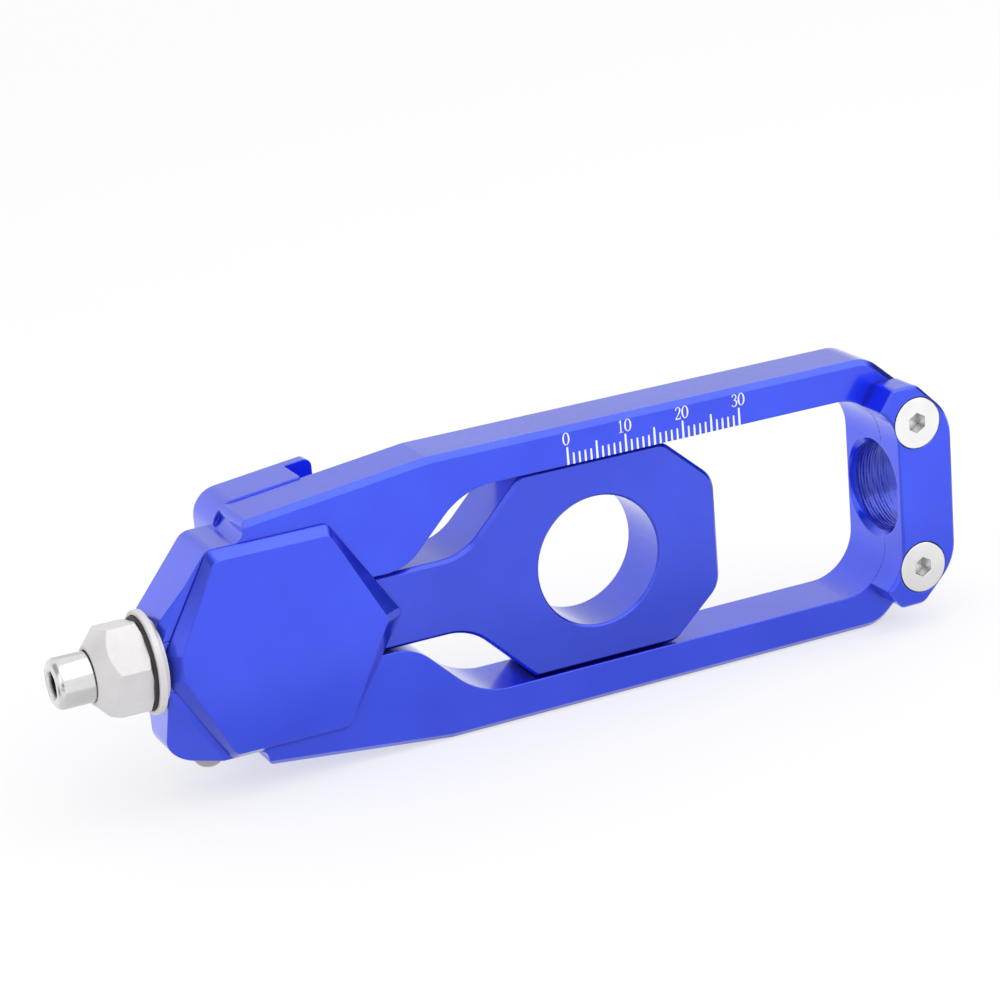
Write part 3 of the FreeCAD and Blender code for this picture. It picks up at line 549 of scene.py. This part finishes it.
def bolt_stations():
    """The bolt's profile from tip to end: (along, radius, thread)."""
    wide, shank = OUTER_THREAD.radius, INNER_THREAD.radius
    stations = [(BOLT_TIP + along, wide - inward, None) for along, inward in TIP_ROUNDING]
    stations += threaded_run(OUTER_THREAD, OUTER_THREAD.end)
    stations += [
        (COLLAR_LEFT, wide, None),
        (COLLAR_LEFT, COLLAR_RADIUS - COLLAR_CHAMFER, None),
        (COLLAR_LEFT + COLLAR_CHAMFER, COLLAR_RADIUS, None),
        (COLLAR_RIGHT - COLLAR_CHAMFER, COLLAR_RADIUS, None),
        (COLLAR_RIGHT, COLLAR_RADIUS - COLLAR_CHAMFER, None),
        (COLLAR_RIGHT, shank, None),
    ]
    stations += threaded_run(INNER_THREAD, INNER_THREAD.end - BOLT_END_CHAMFER)
    stations.append((BOLT_END - BOLT_END_CHAMFER, shank, INNER_THREAD))
    stations.append((BOLT_END, shank - BOLT_END_CHAMFER, None))
    return stations


def round_bolt(x, turn, radius):
    return (x, BOLT_DOWN + radius * math.cos(turn), radius * math.sin(turn))


def bolt_socket(vertices, faces):
    """A countersunk hexagon with a drill point, joined to the bolt's first ring."""
    flats = BOLT_SOCKET_FLATS
    widest = flats / 2 / math.cos(math.pi / 6) + COUNTERSINK_MARGIN

    def mouth(turn):
        return round_bolt(BOLT_TIP, turn, min(hexagon_radius(turn, flats) + COUNTERSINK, widest))

    rings = [0, add_ring(vertices, mouth)]
    for x in (BOLT_TIP + COUNTERSINK, BOLT_TIP + BOLT_SOCKET_DEPTH):
        rings.append(add_ring(vertices, lambda turn: round_bolt(x, turn, hexagon_radius(turn, flats))))
    for low, high in zip(rings, rings[1:]):
        join_rings(faces, low, high, flipped=True)
    deepest = len(vertices)
    vertices.append((BOLT_TIP + BOLT_SOCKET_DEPTH + BOLT_SOCKET_POINT, BOLT_DOWN, 0.0))
    for step in range(TURN_STEPS):
        faces.append((rings[-1] + (step + 1) % TURN_STEPS, rings[-1] + step, deepest))


def bolt_piece():
    vertices, faces = [], []
    for x, radius, thread in bolt_stations():
        add_ring(vertices, lambda turn: round_bolt(x, turn, radius - thread_depth(thread, x, turn)))
    last = len(vertices) - TURN_STEPS
    for low in range(0, last, TURN_STEPS):
        join_rings(faces, low, low + TURN_STEPS)
    faces.append(tuple(range(last, last + TURN_STEPS)))
    bolt_socket(vertices, faces)
    piece = new_piece("threaded_bolt", vertices, faces, TURNED, "bolt", TURNED_SHARP)
    piece.data.materials.append(SOCKET)
    # Inside the socket are its countersink, its walls and its drill point
    for face in piece.data.polygons[-3 * TURN_STEPS :]:
        face.material_index = 1
    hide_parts("adjuster_bolt")


bolt_piece()


# Lock screw under the nose: a low domed head with a hexagon socket
SCREW_ALONG = -65.1
SCREW_TOP, SCREW_SEAT = -4.2, -16.4
SCREW_SHANK, SCREW_HEAD = 1.5, 2.4
SCREW_CHAMFER, SCREW_EDGE = 0.4, 0.1
DOME_HEIGHT, DOME_STEPS, DOME_STEP_DEGREES = 2.05, 6, 9
SCREW_FLATS, SCREW_SOCKET_DEPTH = 2.0, 1.0


def lock_screw_piece():
    profile = [
        (SCREW_TOP, SCREW_SHANK - SCREW_CHAMFER),
        (SCREW_TOP - SCREW_CHAMFER, SCREW_SHANK),
        (SCREW_SEAT, SCREW_SHANK),
        (SCREW_SEAT, SCREW_HEAD - SCREW_EDGE),
    ]
    for step in range(DOME_STEPS + 1):
        lean = math.radians(DOME_STEP_DEGREES * step)
        profile.append((SCREW_SEAT - SCREW_EDGE - DOME_HEIGHT * math.sin(lean), SCREW_HEAD * math.cos(lean)))
    vertices, faces = [], []

    def point(z, radius, turn):
        return (SCREW_ALONG + radius * math.cos(turn), BOLT_DOWN + radius * math.sin(turn), z)

    for z, radius in profile:
        add_ring(vertices, lambda turn: point(z, radius, turn))
    crown = profile[-1][0]
    for z in (crown, crown + SCREW_SOCKET_DEPTH):
        add_ring(vertices, lambda turn: point(z, hexagon_radius(turn, SCREW_FLATS), turn))
    last = len(vertices) - TURN_STEPS
    for low in range(0, last, TURN_STEPS):
        join_rings(faces, low, low + TURN_STEPS, flipped=True)
    faces.append(tuple(range(TURN_STEPS)))
    faces.append(tuple(reversed(range(last, last + TURN_STEPS))))
    piece = new_piece("domed_lock_screw", vertices, faces, DULLED, "frame", TURNED_SHARP)
    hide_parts("lock_screw")


lock_screw_piece()


# Tool marks of the clamp bore: a closed lining with fine uneven grooves just inside the solid's wall
BORE_DOWN = -7.6
BORE_RADIUS = 7.3
BORE_START, BORE_END = 52.5, 61.0
GROOVE_PITCH, GROOVE_RISE = 0.55, 0.07
LINING_INSIDE, LINING_OUTSIDE = 0.02, 0.1
BORE_STEPS, BORE_ROWS = 72, 124
BORE_SHARP = 50


def bore_marks():
    vertices, faces = [], []

    def point(x, radius, turn):
        return (x, BORE_DOWN + radius * math.cos(turn), radius * math.sin(turn))

    def grooved(x, turn):
        phase = (x / GROOVE_PITCH - turn / (2 * math.pi)) % 1.0
        fade = min(1.0, (x - BORE_START) / GROOVE_PITCH, (BORE_END - x) / GROOVE_PITCH)
        uneven = 0.5 + 0.5 * math.sin(5 * turn + 1.7 * x) * math.sin(3.1 * x + 2 * turn)
        rise = GROOVE_RISE * fade * uneven * (1.0 - abs(2.0 * phase - 1.0))
        return point(x, BORE_RADIUS - LINING_INSIDE - rise, turn)

    for row in range(BORE_ROWS + 1):
        x = BORE_START + (BORE_END - BORE_START) * row / BORE_ROWS
        add_ring(vertices, lambda turn: grooved(x, turn), BORE_STEPS)
    for x in (BORE_END, BORE_START):
        add_ring(vertices, lambda turn: point(x, BORE_RADIUS + LINING_OUTSIDE, turn), BORE_STEPS)
    for low in range(0, len(vertices), BORE_STEPS):
        join_rings(faces, low, (low + BORE_STEPS) % len(vertices), BORE_STEPS, flipped=True)
    new_piece("tail_bore_marks", vertices, faces, BLUE_CUT_SHADED, "frame", BORE_SHARP)


bore_marks()


# Floor: pale, with emission so that it stays white, and a diffuse share that keeps the shadow
FLOOR_HALF = 8.0
FLOOR_DROP = 0.05
FLOOR_GREY = rgb(0.92, 0.92, 0.93)
GLOW_AS_LIGHT = 0.2
GLOW_NEAR, GLOW_FAR = 0.62, 1.0
FADE_START, FADE_END = 0.3, 1.4


def floor():
    material = bpy.data.materials.new("studio_floor")
    material.use_nodes = True
    nodes = Nodes(material.node_tree)
    nodes.tree.nodes.clear()
    matt = nodes.node("BsdfDiffuse", Color=FLOOR_GREY)
    glow = nodes.node("Emission", Color=rgb(1, 1, 1), Strength=1.0)
    # Far from the object the floor runs out into plain white
    away = nodes.node("VectorMath", {"operation": "LENGTH"})
    nodes.feed(away.inputs[0], nodes.node("NewGeometry").outputs["Position"])
    seen_share = nodes.span(away.outputs["Value"], FADE_START, FADE_END, GLOW_NEAR, GLOW_FAR)
    share = nodes.span(nodes.background_rays(), 0.0, 1.0, GLOW_AS_LIGHT, seen_share)
    mix = nodes.node("MixShader", Fac=share)
    nodes.feed(mix.inputs[1], matt.outputs[0])
    nodes.feed(mix.inputs[2], glow.outputs[0])
    nodes.node("OutputMaterial", Surface=mix.outputs[0])
    half, level = FLOOR_HALF, CAD_BOX[0][2] - FLOOR_DROP * MM
    mesh = bpy.data.meshes.new("studio_floor")
    corners = [(-half, -half, level), (half, -half, level), (half, half, level), (-half, half, level)]
    mesh.from_pydata(corners, [], [(0, 1, 2, 3)])
    mesh.materials.append(material)
    plane = bpy.data.objects.new("studio_floor", mesh)
    bpy.context.scene.collection.objects.link(plane)


floor()


# World: white behind the object and in its reflections, a little dimmer as light on matt surfaces
WORLD_AS_LIGHT = 0.9


def studio():
    world = bpy.data.worlds.new("studio")
    bpy.context.scene.world = world
    world.use_nodes = True
    nodes = Nodes(world.node_tree)
    back = nodes.tree.nodes["Background"]
    level = nodes.span(nodes.background_rays(), 0.0, 1.0, WORLD_AS_LIGHT, 1.0)
    nodes.feed(back.inputs["Color"], rgb(1, 1, 1))
    nodes.feed(back.inputs["Strength"], level)


studio()


# Cards: they fade out from this share of their half width and height, so that no hard line shows
CARD_SOLID = 0.45


def card(name, place, aim, width, height, grey):
    """A soft matt studio card, seen only in reflections, that gives bright metal its darker sides."""
    s = Shader(name)
    s.set(
        Base_Color=rgb(0, 0, 0),
        Roughness=1.0,
        Specular_IOR_Level=0.0,
        Emission_Color=rgb(grey, grey, grey),
        Emission_Strength=1.0,
    )
    parts = s.node("SeparateXYZ", Vector=s.place).outputs
    x, y = width / 2, height / 2
    fades = []
    for side, half in (("X", x), ("Y", y)):
        away = s.maths("ABSOLUTE", parts[side])
        fades.append(s.span(away, CARD_SOLID * half, half, 1.0, 0.0, "SMOOTHSTEP"))
    s.set(Alpha=s.maths("MULTIPLY", *fades))
    mesh = bpy.data.meshes.new(name)
    mesh.from_pydata([(-x, -y, 0), (x, -y, 0), (x, y, 0), (-x, y, 0)], [], [(0, 1, 2, 3)])
    mesh.materials.append(s.material)
    board = bpy.data.objects.new(name, mesh)
    board.location = place
    board.rotation_euler = (Vector(aim) - Vector(place)).to_track_quat("Z", "Y").to_euler()
    board.visible_camera = False
    board.visible_diffuse = False
    board.visible_shadow = False
    bpy.context.scene.collection.objects.link(board)


MIDDLE = (0.0, 0.0, 0.0)
STANDING_CARDS = (
    ("right_card", (0.62, -0.05, 0.06), 0.9, 0.7, 0.05),
    ("back_card", (0.45, 0.95, 0.38), 2.0, 0.8, 0.78),
    ("camera_side_card", (-0.45, -0.64, 0.05), 0.6, 0.4, 0.35),
    ("left_card", (-0.75, 0.25, 0.7), 1.2, 1.2, 0.45),
)
# Cards lying on the floor: painted shade, darker sheets seen only in reflections, in place of the floor's
# shade under and beside the object
FLOOR_SHADE_CARDS = (
    ("low_right_card", (0.13, 0.01), 0.16, 0.10, 0.3),
    ("low_left_card", (-0.17, -0.13), 0.16, 0.20, 0.55),
    ("left_floor_card", (-0.16, 0.005), 0.10, 0.07, 0.3),
    ("under_card", (-0.01, -0.018), 0.26, 0.08, 0.72),
)
for name, place, width, height, grey in STANDING_CARDS:
    card(name, place, MIDDLE, width, height, grey)
for name, spot, width, height, grey in FLOOR_SHADE_CARDS:
    card(name, (*spot, CAD_BOX[0][2] + 1.0 * MM), (*spot, 1.0), width, height, grey)


def softbox(name, place, width, height, radiance):
    """A soft area lamp aimed at the object's middle."""
    lamp = bpy.data.lights.new(name, "AREA")
    lamp.shape = "RECTANGLE"
    lamp.size, lamp.size_y = width, height
    lamp.energy = radiance * math.pi * width * height
    holder = bpy.data.objects.new(name, lamp)
    holder.location = place
    holder.rotation_euler = (-Vector(place)).to_track_quat("-Z", "Y").to_euler()
    bpy.context.scene.collection.objects.link(holder)


softbox("top_softbox", (0.20, -0.25, 0.62), 1.1, 0.8, 0.8)
softbox("left_softbox", (-0.55, -0.35, 0.30), 0.35, 0.45, 0.3)


# Camera at the photograph's place
CAMERA_PLACE = (-0.19117, -0.39988, 0.15687)
CAMERA_TURNS = (71.381, 4.8185, -25.8332)
CAMERA_LENS = 107.68
CAMERA_SENSOR = 36.0


def camera():
    data = bpy.data.cameras.new("camera")
    data.sensor_fit = "HORIZONTAL"
    data.sensor_width = CAMERA_SENSOR
    data.lens = CAMERA_LENS
    data.clip_start, data.clip_end = 0.01, 20.0
    holder = bpy.data.objects.new("camera", data)
    holder.location = CAMERA_PLACE
    holder.rotation_euler = Euler([math.radians(turn) for turn in CAMERA_TURNS], "XYZ")
    bpy.context.scene.collection.objects.link(holder)
    bpy.context.scene.camera = holder


camera()

view = bpy.context.scene.view_settings
view.view_transform = "Standard"
